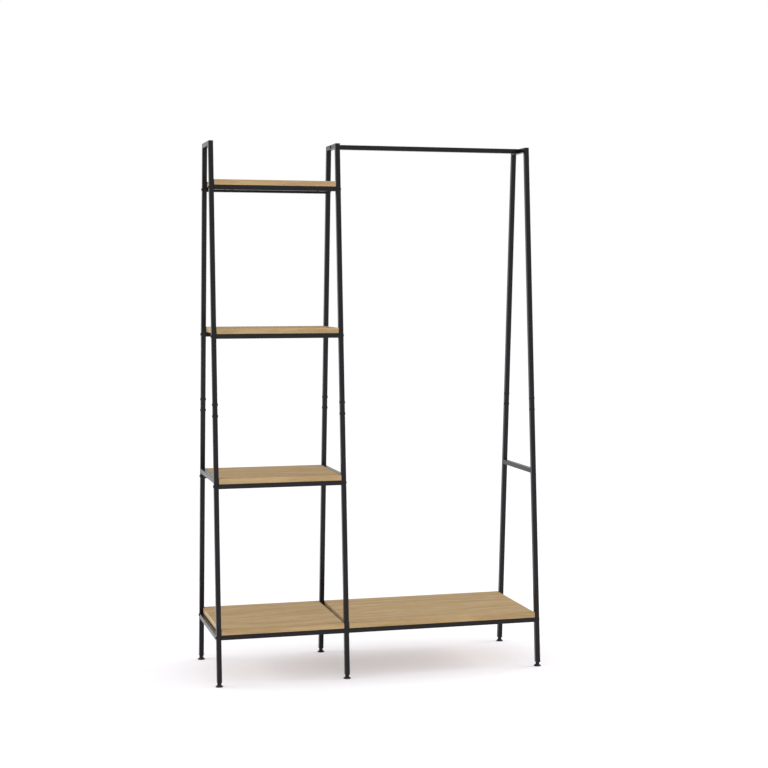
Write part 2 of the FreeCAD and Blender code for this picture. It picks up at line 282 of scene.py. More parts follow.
class EffectGroups:
    """The shared shader effects, each a node group that is built once."""

    # Cosine between a face and its softened edge, from untouched to rubbed.
    EDGE = Slope(0.995, 0.86)
    EDGE_SAMPLES = 4
    # Noise values between which a patch of wear and a clump of dust set in.
    PATCH = Slope(0.48, 0.62)
    CLUMP = Slope(0.4, 0.7, 0.3, 1.0)
    # Upward part of the normal on faces that hold dust.
    UPWARD = Slope(0.6, 1.0)
    # Scales of the wood's patterns, along and across its grain.
    SWAY: Pair = (1.6, 7.0)
    STREAKS: Pair = (1.1, 46.0)
    PORES: Pair = (16.0, 820.0)
    FLAKES: Pair = (30.0, 240.0)
    # Growth rings for each metre across, their sway in rings, and the figure's rate.
    RINGS = 30.0
    RING_SWAY = 9.0
    RING_RATE = 3.2
    WAVE = Slope(-1.0, 1.0)

    def __init__(self) -> None:
        """Start with no group built."""
        self.built: dict[Effect, Tree] = {}

    def place(self, graph: Graph, effect: Effect, inputs: dict[str, float]) -> Node:
        """Place an effect in a material, and build its group on first use.

        Args:
            graph: the material's graph.
            effect: the effect.
            inputs: values of the group's inputs.

        Returns:
            The group node.
        """
        if effect not in self.built:
            self.built[effect] = getattr(self, effect.value)()
        return graph.add("ShaderNodeGroup", inputs, node_tree=self.built[effect])

    @staticmethod
    def start(effect: Effect, inputs: dict[str, float], outputs: list[str]) -> tuple[Graph, Node]:
        """Begin a group with named sockets.

        Args:
            effect: the effect, which gives the group its name.
            inputs: float inputs with their defaults.
            outputs: float outputs.

        Returns:
            The group's graph and its input node.
        """
        tree = bpy.data.node_groups.new(effect.value, "ShaderNodeTree")
        kind = "NodeSocketFloat"
        for label, value in inputs.items():
            socket = tree.interface.new_socket(name=label, in_out="INPUT", socket_type=kind)
            socket.default_value = value
        for label in outputs:
            tree.interface.new_socket(name=label, in_out="OUTPUT", socket_type=kind)
        graph = Graph(tree)
        return graph, graph.add("NodeGroupInput")

    @staticmethod
    def put_mask(graph: Graph, given: Node, where: Socket, patches: Socket) -> None:
        """Put out two masks multiplied by each other and by the group's Amount.

        Args:
            graph: the group's graph.
            given: its input node.
            where: mask of the faces or edges that the effect is on.
            patches: mask of its patches.
        """
        both = graph.math("MULTIPLY", where, patches)
        mask = graph.math("MULTIPLY", both, given.outputs["Amount"], clamp=True)
        graph.add("NodeGroupOutput", {"Mask": mask})

    def edge_wear(self) -> Tree:
        """Mask of rubbed edges.

        Returns:
            Group with inputs Radius, Amount and Patches, and the output Mask.
        """
        inputs = {"Radius": 1.0 * MM, "Amount": 0.5, "Patches": 60.0}
        graph, given = self.start(Effect.EDGE_WEAR, inputs, ["Mask"])
        radius = {"Radius": given.outputs["Radius"]}
        soft = graph.add("ShaderNodeBevel", radius, samples=self.EDGE_SAMPLES).outputs[0]
        same = graph.vector("DOT_PRODUCT", soft, graph.normal()).outputs["Value"]
        patches = graph.noise(graph.coordinates(), given.outputs["Patches"], detail=5.0, rough=0.65)
        edge = graph.slope(same, self.EDGE)
        self.put_mask(graph, given, edge, graph.slope(patches, self.PATCH))
        return graph.tree

    def fine_grain(self) -> Tree:
        """Fine texture of a sprayed or moulded surface, and clouds in its tone.

        Returns:
            Group with inputs Scale and Clouds, and the outputs Height and Tone.
        """
        inputs = {"Scale": 900.0, "Clouds": 9.0}
        graph, given = self.start(Effect.FINE_GRAIN, inputs, ["Height", "Tone"])
        place = graph.coordinates()
        height = graph.noise(place, given.outputs["Scale"], detail=2.0, rough=0.45)
        tone = graph.noise(place, given.outputs["Clouds"], detail=6.0, rough=0.6)
        graph.add("NodeGroupOutput", {"Height": height, "Tone": tone})
        return graph.tree

    def settled_dust(self) -> Tree:
        """Mask of dust on faces that look up.

        Returns:
            Group with inputs Amount and Scale, and the output Mask.
        """
        inputs = {"Amount": 0.2, "Scale": 35.0}
        graph, given = self.start(Effect.SETTLED_DUST, inputs, ["Mask"])
        up = graph.split(graph.normal()).outputs["Z"]
        clumps = graph.noise(graph.coordinates(), given.outputs["Scale"], detail=7.0, rough=0.7)
        flat = graph.slope(up, self.UPWARD)
        self.put_mask(graph, given, flat, graph.slope(clumps, self.CLUMP))
        return graph.tree

    def long_grain(self) -> Tree:
        """Grain of wood that runs along X.

        Returns:
            Group with inputs Shift, Growth and Pores, and the outputs Figure, Streaks,
            Pores and Flakes.
        """
        inputs = {"Shift": 0.0, "Growth": 1.0, "Pores": 1.0}
        outputs = ["Figure", "Streaks", "Pores", "Flakes"]
        graph, given = self.start(Effect.LONG_GRAIN, inputs, outputs)
        shift, growth, pores = (given.outputs[label] for label in inputs)
        aside = graph.add("ShaderNodeCombineXYZ", {0: shift, 1: shift}).outputs[0]
        start = graph.vector("ADD", graph.coordinates(), aside).outputs[0]

        def stretched(scales: Pair) -> Socket:
            """Coordinates with their own scale along and across the grain."""
            mapped = {"Vector": start, "Scale": (scales[0], scales[1], scales[1])}
            return graph.add("ShaderNodeMapping", mapped).outputs[0]

        rings = graph.math("MULTIPLY", graph.split(start).outputs["Y"], self.RINGS)
        sway = graph.noise(stretched(self.SWAY), growth, detail=3.0, rough=0.5)
        swayed = graph.math("ADD", rings, graph.math("MULTIPLY", sway, self.RING_SWAY))
        wave = graph.math("SINE", graph.math("MULTIPLY", swayed, self.RING_RATE))
        graph.add("NodeGroupOutput", {
            "Figure": graph.slope(wave, self.WAVE),
            "Streaks": graph.noise(stretched(self.STREAKS), growth, detail=6.0, rough=0.62,
                                   warp=0.4),
            "Pores": graph.noise(stretched(self.PORES), pores, detail=2.0, rough=0.5),
            "Flakes": graph.noise(stretched(self.FLAKES), pores, detail=3.0, rough=0.6),
        })
        return graph.tree


@dataclass(frozen=True)
class Grain:
    """Fine texture: its cells and clouds for each metre, and the depth of its relief."""

    cells: float
    clouds: float
    depth: float
    strength: float


@dataclass(frozen=True)
class Wear:
    """Rubbed edges: their colour, reach and strength, and patches for each metre."""

    colour: Colour
    radius: float
    amount: float
    patches: float

    def mask(self, effects: EffectGroups, graph: Graph) -> Socket:
        """Place the wear in a material and give its mask."""
        inputs = {"Radius": self.radius, "Amount": self.amount, "Patches": self.patches}
        return effects.place(graph, Effect.EDGE_WEAR, inputs).outputs["Mask"]


@dataclass(frozen=True)
class Dust:
    """Settled dust: its colour and amount, its clumps for each metre and how dull it is."""

    colour: Colour
    amount: float
    clumps: float
    dulling: float = 0.0

    def mask(self, effects: EffectGroups, graph: Graph) -> Socket:
        """Place the dust in a material and give its mask."""
        inputs = {"Amount": self.amount, "Scale": self.clumps}
        return effects.place(graph, Effect.SETTLED_DUST, inputs).outputs["Mask"]


@dataclass(frozen=True)
class Finish:
    """What every finish has: a name, a base colour and a roughness."""

    name: str
    base: Colour
    roughness: float

    def begin(self, tail: str = "") -> tuple[Material, Graph, Node]:
        """Begin a material.

        Args:
            tail: what follows the finish's name in the material's name.

        Returns:
            The material, its graph and its Principled BSDF.
        """
        material = bpy.data.materials.new(self.name + tail)
        material.use_nodes = True
        material.diffuse_color = opaque(self.base)
        graph = Graph(material.node_tree)
        return material, graph, material.node_tree.nodes["Principled BSDF"]

    @staticmethod
    def relief(graph: Graph, shader: Node, height: Socket, depth: float, strength: float) -> None:
        """Feed the shader's normal from a height of 0 to 1, which is depth metres deep."""
        inputs = {"Height": height, "Distance": depth, "Strength": strength}
        graph.link(graph.add("ShaderNodeBump", inputs).outputs[0], shader.inputs["Normal"])


@dataclass(frozen=True)
class GrainedFinish(Finish):
    """A finish of one colour, with a fine grain, clouds in its tone and rubbed edges."""

    grain: Grain
    wear: Wear
    # Cloud values, each with its share of the base colour.
    tones: tuple[Pair, ...]
    # What the thinnest and the thickest clouds add to the roughness.
    rough_change: Pair
    clouds: Pair = (0.3, 0.7)
    gloss_level: float = 0.5
    metallic: float = 0.0
    # On a coat that is handled: its dust, and how much smoother its rubbed edges are.
    dust: Dust | None = None
    polish: float = 0.0

    def material(self, effects: EffectGroups) -> Material:
        """Build the material.

        Args:
            effects: the shared groups.

        Returns:
            The material.
        """
        material, graph, shader = self.begin()
        inputs = {"Scale": self.grain.cells, "Clouds": self.grain.clouds}
        grain = effects.place(graph, Effect.FINE_GRAIN, inputs).outputs
        worn = self.wear.mask(effects, graph)
        stops = [(place, tuple(share * level for level in self.base))
                 for place, share in self.tones]
        colour = graph.cover(graph.ramp(grain["Tone"], stops), worn, self.wear.colour)
        ends = (self.roughness + change for change in self.rough_change)
        rough = graph.slope(grain["Tone"], Slope(*self.clouds, *ends))
        if self.dust:
            dusty = self.dust.mask(effects, graph)
            colour = graph.cover(colour, dusty, self.dust.colour)
            smooth = graph.math("SUBTRACT", rough, graph.math("MULTIPLY", worn, self.polish))
            dull = graph.math("MULTIPLY", dusty, self.dust.dulling)
            rough = graph.math("ADD", smooth, dull, clamp=True)
        graph.link(colour, shader.inputs["Base Color"])
        graph.link(rough, shader.inputs["Roughness"])
        shader.inputs["Specular IOR Level"].default_value = self.gloss_level
        shader.inputs["Metallic"].default_value = self.metallic
        self.relief(graph, shader, grain["Height"], self.grain.depth, self.grain.strength)
        return material


@dataclass(frozen=True)
class PowderCoat(GrainedFinish):
    """Satin black powder coat over steel, with its orange peel, rubbed edges and a little dust."""

    grain: Grain = Grain(620.0, 6.0, 0.03 * MM, 0.5)
    wear: Wear = Wear((0.16, 0.155, 0.15), 0.9 * MM, 0.55, 45.0)
    tones: tuple[Pair, ...] = ((0.3, 0.72), (0.5, 1.0), (0.72, 1.3))
    rough_change: Pair = (-0.05, 0.06)
    gloss_level: float = 0.23
    dust: Dust = Dust((0.30, 0.29, 0.27), 0.06, 35.0, 0.5)
    polish: float = 0.08


@dataclass(frozen=True)
class PlatedSteel(GrainedFinish):
    """Bare or plated steel of fasteners and sleeves."""

    grain: Grain = Grain(1400.0, 160.0, 0.02 * MM, 0.4)
    wear: Wear = Wear((0.35, 0.34, 0.31), 0.4 * MM, 0.6, 300.0)
    tones: tuple[Pair, ...] = ((0.35, 0.75), (0.6, 1.0))
    rough_change: Pair = (0.08, -0.06)
    metallic: float = 1.0


@dataclass(frozen=True)
class MouldedPlastic(GrainedFinish):
    """Moulded plastic of pads and plugs, with a spark-eroded texture and scuffs."""

    grain: Grain = Grain(2200.0, 90.0, 0.04 * MM, 0.6)
    wear: Wear = Wear((0.11, 0.11, 0.112), 0.6 * MM, 0.5, 200.0)
    tones: tuple[Pair, ...] = ((0.32, 0.8), (0.5, 1.0), (0.7, 1.25))
    rough_change: Pair = (-0.06, 0.08)
    gloss_level: float = 0.4


@dataclass(frozen=True)
class OakBoard(Finish):
    """Light oak decor on a chipboard core, with grain along X and a band on every edge."""

    dark: Colour = (0.36, 0.243, 0.118)
    light: Colour = (0.51, 0.36, 0.19)
    pore: Colour = (0.27, 0.175, 0.08)
    glue: Colour = (0.17, 0.11, 0.055)
    # Shares of the wood's patterns and of the edge bands in its tone.
    figure_share: float = 0.2
    streak_share: float = 0.95
    band_share: float = 0.01
    # Tones that have the dark, the base and the light colour.
    tones: tuple[float, float, float] = (0.32, 0.56, 0.82)
    pore_mask: Slope = Slope(0.36, 0.46, 0.55, 0.0)
    flake_mask: Slope = Slope(0.58, 0.75, 0.0, 0.22)
    glue_amount: float = 0.75
    wear: Wear = Wear(light, 1.2 * MM, 0.35, 70.0)
    dust: Dust = Dust((0.62, 0.6, 0.55), 0.05, 60.0)
    pore_span: Pair = (0.35, 0.6)
    pore_dulling: float = 0.14
    gloss_level: float = 0.06
    end_lacquer: float = 0.7
    lacquer_roughness: float = 0.3
    # Shares of the pores and the streaks in the relief.
    pore_height: float = 0.7
    streak_height: float = 0.3
    relief_depth: float = 0.12 * MM
    relief_strength: float = 0.35
    band_thickness: float = 0.8 * MM
    glue_width: float = 0.18 * MM
    # How far the grain moves on from board to board, for each metre of height.
    shift_upwards: float = 3.0

    def material(self, effects: EffectGroups, board: str) -> Material:
        """Build the material of one board.

        Args:
            effects: the shared groups.
            board: CAD node of the board, whose box places the edge bands.

        Returns:
            The material.
        """
        material, graph, shader = self.begin(f"_{board}")
        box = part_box(board)
        shift = {"Shift": self.shift_upwards * box[0].z + box[0].x}
        grain = effects.place(graph, Effect.LONG_GRAIN, shift).outputs
        ends = self.band(graph, Axis.X, box)
        bands = graph.math("MAXIMUM", ends, self.band(graph, Axis.Y, box))
        tone = graph.weighted_sum((grain["Figure"], self.figure_share),
                                  (grain["Streaks"], self.streak_share),
                                  (bands, self.band_share))
        colour = graph.ramp(tone, list(zip(self.tones, (self.dark, self.base, self.light))))
        glued = graph.math("MULTIPLY", self.glue_lines(graph, box), self.glue_amount)
        layers = (
            (graph.slope(grain["Pores"], self.pore_mask), self.pore),
            (graph.slope(grain["Flakes"], self.flake_mask), self.light),
            (glued, self.glue),
            (self.wear.mask(effects, graph), self.wear.colour),
            (self.dust.mask(effects, graph), self.dust.colour),
        )
        for mask, over in layers:
            colour = graph.cover(colour, mask, over)
        graph.link(colour, shader.inputs["Base Color"])
        dull = Slope(*self.pore_span, self.roughness + self.pore_dulling, self.roughness)
        graph.link(graph.slope(grain["Pores"], dull), shader.inputs["Roughness"])
        lacquer = graph.math("MULTIPLY", ends, self.end_lacquer)
        graph.link(lacquer, shader.inputs["Coat Weight"])
        shader.inputs["Coat Roughness"].default_value = self.lacquer_roughness
        shader.inputs["Specular IOR Level"].default_value = self.gloss_level
        height = graph.weighted_sum((grain["Pores"], self.pore_height),
                                    (grain["Streaks"], self.streak_height))
        self.relief(graph, shader, height, self.relief_depth, self.relief_strength)
        return material

    @staticmethod
    def from_middle(graph: Graph, axis: Axis, box: Corners) -> tuple[Socket, float]:
        """Distance from the middle of the board along an axis.

        Args:
            graph: the material's graph.
            axis: the axis.
            box: lowest and highest corners of the board.

        Returns:
            The distance's socket and half the board's size along the axis.
        """
        low, high = (corner[axis.value] for corner in box)
        value = graph.split(graph.coordinates()).outputs[axis.name]
        away = graph.math("ABSOLUTE", graph.math("SUBTRACT", value, (low + high) / 2))
        return away, (high - low) / 2

    def band(self, graph: Graph, axis: Axis, box: Corners) -> Socket:
        """Mask of the two edge bands that lie square to an axis of the board's box."""
        away, half = self.from_middle(graph, axis, box)
        return graph.math("GREATER_THAN", away, half - self.band_thickness)

    def glue_lines(self, graph: Graph, box: Corners) -> Socket:
        """Mask of the thin glue line inside the edge bands.

        Args:
            graph: the material's graph.
            box: lowest and highest corners of the board.

        Returns:
            The mask's socket.
        """
        lines = []
        for axis in Axis:
            away, half = self.from_middle(graph, axis, box)
            line = (away, half - self.band_thickness, self.glue_width / 2)
            lines.append(graph.math("COMPARE", *line))
        return graph.math("MAXIMUM", *lines)


@dataclass
class Finishes:
    """All finishes of the rack, built once."""

    coat: PowderCoat = PowderCoat("black_powder_coat", (0.0062, 0.0053, 0.0061), 0.28)
    weld: PowderCoat = PowderCoat("black_coated_weld", (0.0066, 0.0057, 0.0065), 0.33,
                                  wear=Wear((0.16, 0.155, 0.15), 0.9 * MM, 0.3, 45.0))
    oak: OakBoard = OakBoard("oak_decor", (0.43, 0.298, 0.152), 0.62)
    bolt: PlatedSteel = PlatedSteel("black_oxide_bolt", (0.013, 0.0125, 0.013), 0.46,
                                    wear=Wear((0.06, 0.06, 0.06), 0.4 * MM, 0.6, 300.0),
                                    metallic=0.55)
    zinc: PlatedSteel = PlatedSteel("zinc_plated_steel", (0.56, 0.56, 0.55), 0.34)
    plug: MouldedPlastic = MouldedPlastic("grey_moulded_plug", (0.06, 0.06, 0.062), 0.5)
    pad: MouldedPlastic = MouldedPlastic("black_moulded_pad", (0.011, 0.011, 0.0115), 0.48,
                                         wear=Wear((0.05, 0.05, 0.05), 0.6 * MM, 0.5, 200.0))
    effects: EffectGroups = field(default_factory=EffectGroups)
    made: dict[Slot, Material] = field(init=False)
    weld_coat: Material = field(init=False)

    def __post_init__(self) -> None:
        """Build the materials that are not tied to one board."""
        finishes = {Slot.FRAME: self.coat, Slot.BOLT: self.bolt, Slot.ZINC: self.zinc,
                    Slot.PLUG: self.plug, Slot.FOOT: self.pad}
        self.made = {slot: finish.material(self.effects) for slot, finish in finishes.items()}
        self.weld_coat = self.weld.material(self.effects)


def dress(node: str, material: Material) -> None:
    """Give a CAD node its finish.

    Args:
        node: name of the node.
        material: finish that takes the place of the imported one.
    """
    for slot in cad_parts[node].material_slots:
        slot.material = material
    log.info("%s wears %s", node, material.name)


class Shape:
    """A Geometry Nodes tree that is used once on one mesh and turned into a plain mesh."""

    def __init__(self, name: str, sizes: dict[str, float]) -> None:
        """Begin the tree with a geometry input and named sizes.

        Args:
            name: name of the tree.
            sizes: input names with their values, in metres or counts.
        """
        self.tree = bpy.data.node_groups.new(name, "GeometryNodeTree")
        self.sizes = sizes
        face = self.tree.interface
        for way in ("INPUT", "OUTPUT"):
            face.new_socket(name="Geometry", in_out=way, socket_type="NodeSocketGeometry")
        self.sockets = {}
        for label, value in sizes.items():
            kind = "NodeSocketInt" if isinstance(value, int) else "NodeSocketFloat"
            self.sockets[label] = face.new_socket(name=label, in_out="INPUT", socket_type=kind)
        self.graph = Graph(self.tree)
        self.group_input = self.graph.add("NodeGroupInput")

    def given(self, label: str) -> Socket:
        """Socket of a named input."""
        return self.group_input.outputs[label]

    def line(self) -> Socket:
        """The starting mesh's edges as curves."""
        return self.graph.add("GeometryNodeMeshToCurve", {0: self.given("Geometry")}).outputs[0]

    def smooth(self, geometry: Socket) -> Socket:
        """Geometry with smooth shading."""
        return self.graph.add("GeometryNodeSetShadeSmooth", {0: geometry}).outputs[0]

    def join(self, parts: list[Socket]) -> Socket:
        """Join several parts.

        Args:
            parts: sockets of the parts.

        Returns:
            The geometry socket.
        """
        joined = self.graph.add("GeometryNodeJoinGeometry")
        for part in parts:
            self.graph.link(part, joined.inputs[0])
        return joined.outputs[0]

    def moved(self, geometry: Socket, place: Point) -> Socket:
        """Geometry moved to a place."""
        inputs = {0: geometry, "Translation": place}
        return self.graph.add("GeometryNodeTransform", inputs).outputs[0]

    def close(self, geometry: Socket, material: Material) -> None:
        """End the tree in Realize Instances and Set Material.

        Args:
            geometry: socket with the shape.
            material: finish of the shape.
        """
        real = self.graph.add("GeometryNodeRealizeInstances", {0: geometry}).outputs[0]
        inputs = {"Geometry": real, "Material": material}
        dressed = self.graph.add("GeometryNodeSetMaterial", inputs).outputs[0]
        self.graph.add("NodeGroupOutput", {"Geometry": dressed})

    def build(self, name: str, start: Mesh) -> Piece:
        """Run the tree on a mesh and keep the result as a plain mesh.

        Args:
            name: name of the piece.
            start: mesh that the tree starts from.

        Returns:
            The piece, at the origin, with no modifier.
        """
        carrier = put(name + "_start", start)
        modifier = carrier.modifiers.new("shape", "NODES")
        modifier.node_group = self.tree
        for label, value in self.sizes.items():
            modifier[self.sockets[label].identifier] = value
        graph = bpy.context.evaluated_depsgraph_get()
        mesh = bpy.data.meshes.new_from_object(carrier.evaluated_get(graph))
        carrier.modifiers.remove(modifier)
        bpy.data.objects.remove(carrier)
        mesh.name = name
        return put(name, mesh)


@dataclass
class WeldBeads:
    """Short beads in the inside corners where the bars of an end frame meet its legs."""

    frames: tuple[FrameName, ...]
    bead_radius: float = 1.1 * MM
    bead_detail: int = 2
    # From a bead's end to the tube's side, and from ripple to ripple.
    end_gap: float = 1.5 * MM
    ripple_step: float = 0.85 * MM
    # How much larger or smaller than the bead a ripple may be.
    swing: float = 0.12
    seed: int = 7

    @staticmethod
    def lean(frame_name: FrameName) -> float:
        """How far a leg moves out for each metre down.

        Args:
            frame_name: the end frame.

        Returns:
            The slope, from the reach of the frame's two crossbars.
        """
        low_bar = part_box(f"bottom_crossbar_{frame_name.value}")[1]
        high_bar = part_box(f"mid_crossbar_{frame_name.value}")[1]
        return (low_bar.y - high_bar.y) / (high_bar.z - low_bar.z)

    def corners(self, frame_name: FrameName) -> list[Pair]:
        """Inside corners of a frame, seen from its side.

        Args:
            frame_name: the end frame.

        Returns:
            Distance from the middle plane and height of each corner.
        """
        slope = self.lean(frame_name)
        places = []
        for bar in ("mid_crossbar", "bottom_crossbar"):
            low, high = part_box(f"{bar}_{frame_name.value}")
            places.append((high.y, low.z))
            places.append((high.y - (high.z - low.z) * slope, high.z))
        mid_low, mid_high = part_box(f"mid_crossbar_{frame_name.value}")
        top_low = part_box(f"top_bar_{frame_name.value}")[0]
        places.append((mid_high.y - (top_low.z - mid_low.z) * slope, top_low.z))
        return places

    def lines(self) -> Mesh:
        """Straight lines of all beads.

        Returns:
            A mesh with one edge for each bead.
        """
        points: list[Point] = []
        for frame_name in self.frames:
            low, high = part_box(f"mid_crossbar_{frame_name.value}")
            for away, height in self.corners(frame_name):
                for side in (-1, 1):
                    points.append((low.x + self.end_gap, side * away, height))
                    points.append((high.x - self.end_gap, side * away, height))
        edges = [(start, start + 1) for start in range(0, len(points), 2)]
        mesh = bpy.data.meshes.new("weld_lines")
        mesh.from_pydata(points, edges, [])
        return mesh

    def tree(self, material: Material) -> Shape:
        """Beads as rows of overlapping ripples.

        Args:
            material: finish of the beads.

        Returns:
            The tree.
        """
        sizes = {"Bead Radius": self.bead_radius, "Ripple Step": self.ripple_step,
                 "Swing": self.swing, "Seed": self.seed}
        shape = Shape("weld_beads", sizes)
        graph = shape.graph
        steps = {"Curve": shape.line(), "Length": shape.given("Ripple Step")}
        points = graph.add("GeometryNodeCurveToPoints", steps, mode="LENGTH").outputs[0]
        bead = {"Radius": shape.given("Bead Radius"), "Subdivisions": self.bead_detail}
        ball = shape.smooth(graph.add("GeometryNodeMeshIcoSphere", bead).outputs[0])
        limits = {"Min": graph.math("SUBTRACT", 1.0, shape.given("Swing")),
                  "Max": graph.math("ADD", 1.0, shape.given("Swing")),
                  "Seed": shape.given("Seed")}
        scale = graph.add("FunctionNodeRandomValue", data_type="FLOAT")
        for socket in scale.inputs:
            if socket.enabled and socket.name in limits:
                graph.link(limits[socket.name], socket)
        drawn = next(socket for socket in scale.outputs if socket.enabled)
        placed = {"Points": points, "Instance": ball, "Scale": drawn}
        shape.close(graph.add("GeometryNodeInstanceOnPoints", placed).outputs[0], material)
        return shape

    def build(self, finishes: Finishes) -> Piece:
        """Build the beads and fix them to the frame.

        Args:
            finishes: the rack's finishes.

        Returns:
            The piece.
        """
        piece = self.tree(finishes.weld_coat).build("weld_beads", self.lines())
        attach(piece, "root")
        log.info("weld_beads: %d faces", len(piece.data.polygons))
        return piece


@dataclass
class LevellingFoot:
    """One levelling foot: its moulded pad and its threaded stem."""

    frame_name: FrameName
    side: LegSide
    thread_pitch: float = 1.25 * MM
    thread_depth: float = 0.68 * MM
    major_dia: float = 8.0 * MM
    # Distance from the nearest crest, in pitches, where a flank begins and ends.
    flank: Slope = Slope(0.07, 0.42)
    # The stem's turned-down end: its length, and how fast its radius shrinks.
    point_length: float = 2.0 * MM
    point_taper: float = 0.75
    # The hexagon across its flats, its height, and its rims' height and slope.
    hex_flats: float = 12.0 * MM
    hex_height: float = 6.0 * MM
    chamfer: float = 0.5 * MM
    chamfer_run: float = 1.3
    pad_height: float = 6.0 * MM
    spigot_dia: float = 6.0 * MM
    spigot_sides: int = 32
    # Points around the stem, and height steps in one turn of the thread.
    around: int = 28
    steps_a_turn: int = 8

    @property
    def place(self) -> str:
        """The foot's place, as the node names give it."""
        return f"{self.side.value}_{self.frame_name.value}"

    @property
    def stem_box(self) -> Corners:
        """Lowest and highest corners of the plain CAD stem."""
        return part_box(f"foot_stem_{self.place}")

    @property
    def middle(self) -> Vector:
        """Middle of the plain CAD stem."""
        low, high = self.stem_box
        return (low + high) / 2

    def profile(self) -> Mesh:
        """Upright line of the thread's height steps, on the stem's axis.

        Returns:
            A mesh of one row of points joined by edges.
        """
        x, y, _ = self.middle
        base = self.pad_height + self.hex_height
        length = self.stem_box[1].z - base
        count = round(length / self.thread_pitch * self.steps_a_turn)
        points = [(x, y, base + length * k / count) for k in range(count + 1)]
        mesh = bpy.data.meshes.new("thread_line")
        mesh.from_pydata(points, [(k, k + 1) for k in range(count)], [])
        return mesh

    def tree(self, material: Material) -> Shape:
        """Stem with a rolled thread, a hexagon and the spigot that sits in the pad.

        Args:
            material: finish of the stem.

        Returns:
            The tree.
        """
        sizes = {"Pitch": self.thread_pitch, "Depth": self.thread_depth,
                 "Radius": self.major_dia / 2, "Top": self.stem_box[1].z - self.point_length,
                 "Across Corners": self.hex_flats / 2 / math.cos(math.pi / 6),
                 "Around": self.around}
        shape = Shape(f"threaded_stem_{self.place}", sizes)
        parts = [self.thread(shape), self.hexagon(shape), self.spigot(shape)]
        shape.close(shape.join(parts), material)
        return shape

    def thread(self, shape: Shape) -> Socket:
        """Rolled thread, a tube swept up the axis whose rings are drawn in to the flanks.

        Args:
            shape: the tree that it goes into.

        Returns:
            The geometry socket.
        """
        graph = shape.graph
        ring = graph.add("GeometryNodeCurvePrimitiveCircle", {"Resolution": shape.given("Around")})
        sweep = {"Curve": shape.line(), "Profile Curve": ring.outputs[0], "Fill Caps": True}
        swept = graph.add("GeometryNodeCurveToMesh", sweep).outputs[0]
        place = graph.add("GeometryNodeInputPosition").outputs[0]
        axis = graph.add("ShaderNodeCombineXYZ", {0: self.middle.x, 1: self.middle.y}).outputs[0]
        arm = graph.split(graph.vector("SUBTRACT", place, axis).outputs[0]).outputs
        angle = graph.math("ARCTAN2", arm["Y"], arm["X"])
        pitches = graph.math("DIVIDE", arm["Z"], shape.given("Pitch"))
        turns = graph.math("SUBTRACT", pitches, graph.math("DIVIDE", angle, 2 * math.pi))
        half_pitch = 0.5
        from_crest = graph.math("PINGPONG", turns, half_pitch)
        cut = graph.math("MULTIPLY", graph.slope(from_crest, self.flank), shape.given("Depth"))
        full = graph.math("SUBTRACT", shape.given("Radius"), cut)
        past_top = graph.math("SUBTRACT", arm["Z"], shape.given("Top"))
        taper = graph.math("MULTIPLY", graph.math("MAXIMUM", past_top, 0.0), self.point_taper)
        pointed = graph.math("SUBTRACT", shape.given("Radius"), taper)
        radius = graph.math("MINIMUM", full, pointed)
        flat = graph.add("ShaderNodeCombineXYZ", {
            0: graph.math("MULTIPLY", graph.math("COSINE", angle), radius),
            1: graph.math("MULTIPLY", graph.math("SINE", angle), radius),
            2: arm["Z"],
        }).outputs[0]
        target = graph.vector("ADD", flat, axis).outputs[0]
        drawn = {"Geometry": swept, "Position": target}
        return shape.smooth(graph.add("GeometryNodeSetPosition", drawn).outputs[0])

    def hexagon(self, shape: Shape) -> Socket:
        """Hexagon for the spanner, turned down at its rims.

        Args:
            shape: the tree that it goes into.

        Returns:
            The geometry socket.
        """
        graph = shape.graph
        inner = -self.chamfer * self.chamfer_run
        stack = [(0.0, inner), (self.chamfer, 0.0), (self.hex_height - self.chamfer, 0.0),
                 (self.hex_height, inner)]
        x, y, _ = self.middle
        parts = []
        for (low, low_in), (high, high_in) in zip(stack, stack[1:]):
            inputs = {"Vertices": 6, "Depth": high - low,
                      "Radius Top": graph.math("ADD", shape.given("Across Corners"), high_in),
                      "Radius Bottom": graph.math("ADD", shape.given("Across Corners"), low_in)}
            cone = graph.add("GeometryNodeMeshCone", inputs, fill_type="NGON").outputs[0]
            parts.append(shape.moved(cone, (x, y, self.pad_height + low)))
        return shape.join(parts)

    def spigot(self, shape: Shape) -> Socket:
        """Round spigot below the hexagon, in the pad's socket.

        Args:
            shape: the tree that it goes into.

        Returns:
            The geometry socket.
        """
        x, y, _ = self.middle
        low = self.stem_box[0].z
        depth = self.pad_height - low
        inputs = {"Vertices": self.spigot_sides, "Radius": self.spigot_dia / 2, "Depth": depth}
        pin = shape.graph.add("GeometryNodeMeshCylinder", inputs).outputs[0]
        return shape.moved(pin, (x, y, low + depth / 2))

    def build(self, finishes: Finishes) -> Piece:
        """Build the threaded stem in place of the plain one, and dress the pad.

        Args:
            finishes: the rack's finishes.

        Returns:
            The stem.
        """
        name = f"threaded_stem_{self.place}"
        piece = self.tree(finishes.made[Slot.BOLT]).build(name, self.profile())
        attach(piece, f"stem_{self.place}")
        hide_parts(f"foot_stem_{self.place}")
        dress(f"foot_pad_{self.place}", finishes.made[Slot.FOOT])
        log.info("%s: %d faces", name, len(piece.data.polygons))
        return piece


@dataclass
class EndFrame:
    """One leaning end frame with its legs and bars."""

    frame_name: FrameName

    def build(self, finishes: Finishes) -> list[LevellingFoot]:
        """Dress the tubes and list the feet.

        Args:
            finishes: the rack's finishes.

        Returns:
            The frame's two feet, not yet built.
        """
        tail = self.frame_name.value
        coat = finishes.made[Slot.FRAME]
        for side in LegSide:
            for part in ("upper_leg", "lower_leg"):
                dress(f"{side.value}_{part}_{tail}", coat)
        for part in ("top_bar", "mid_crossbar", "bottom_crossbar"):
            dress(f"{part}_{tail}", coat)
        return [LevellingFoot(self.frame_name, side) for side in LegSide]


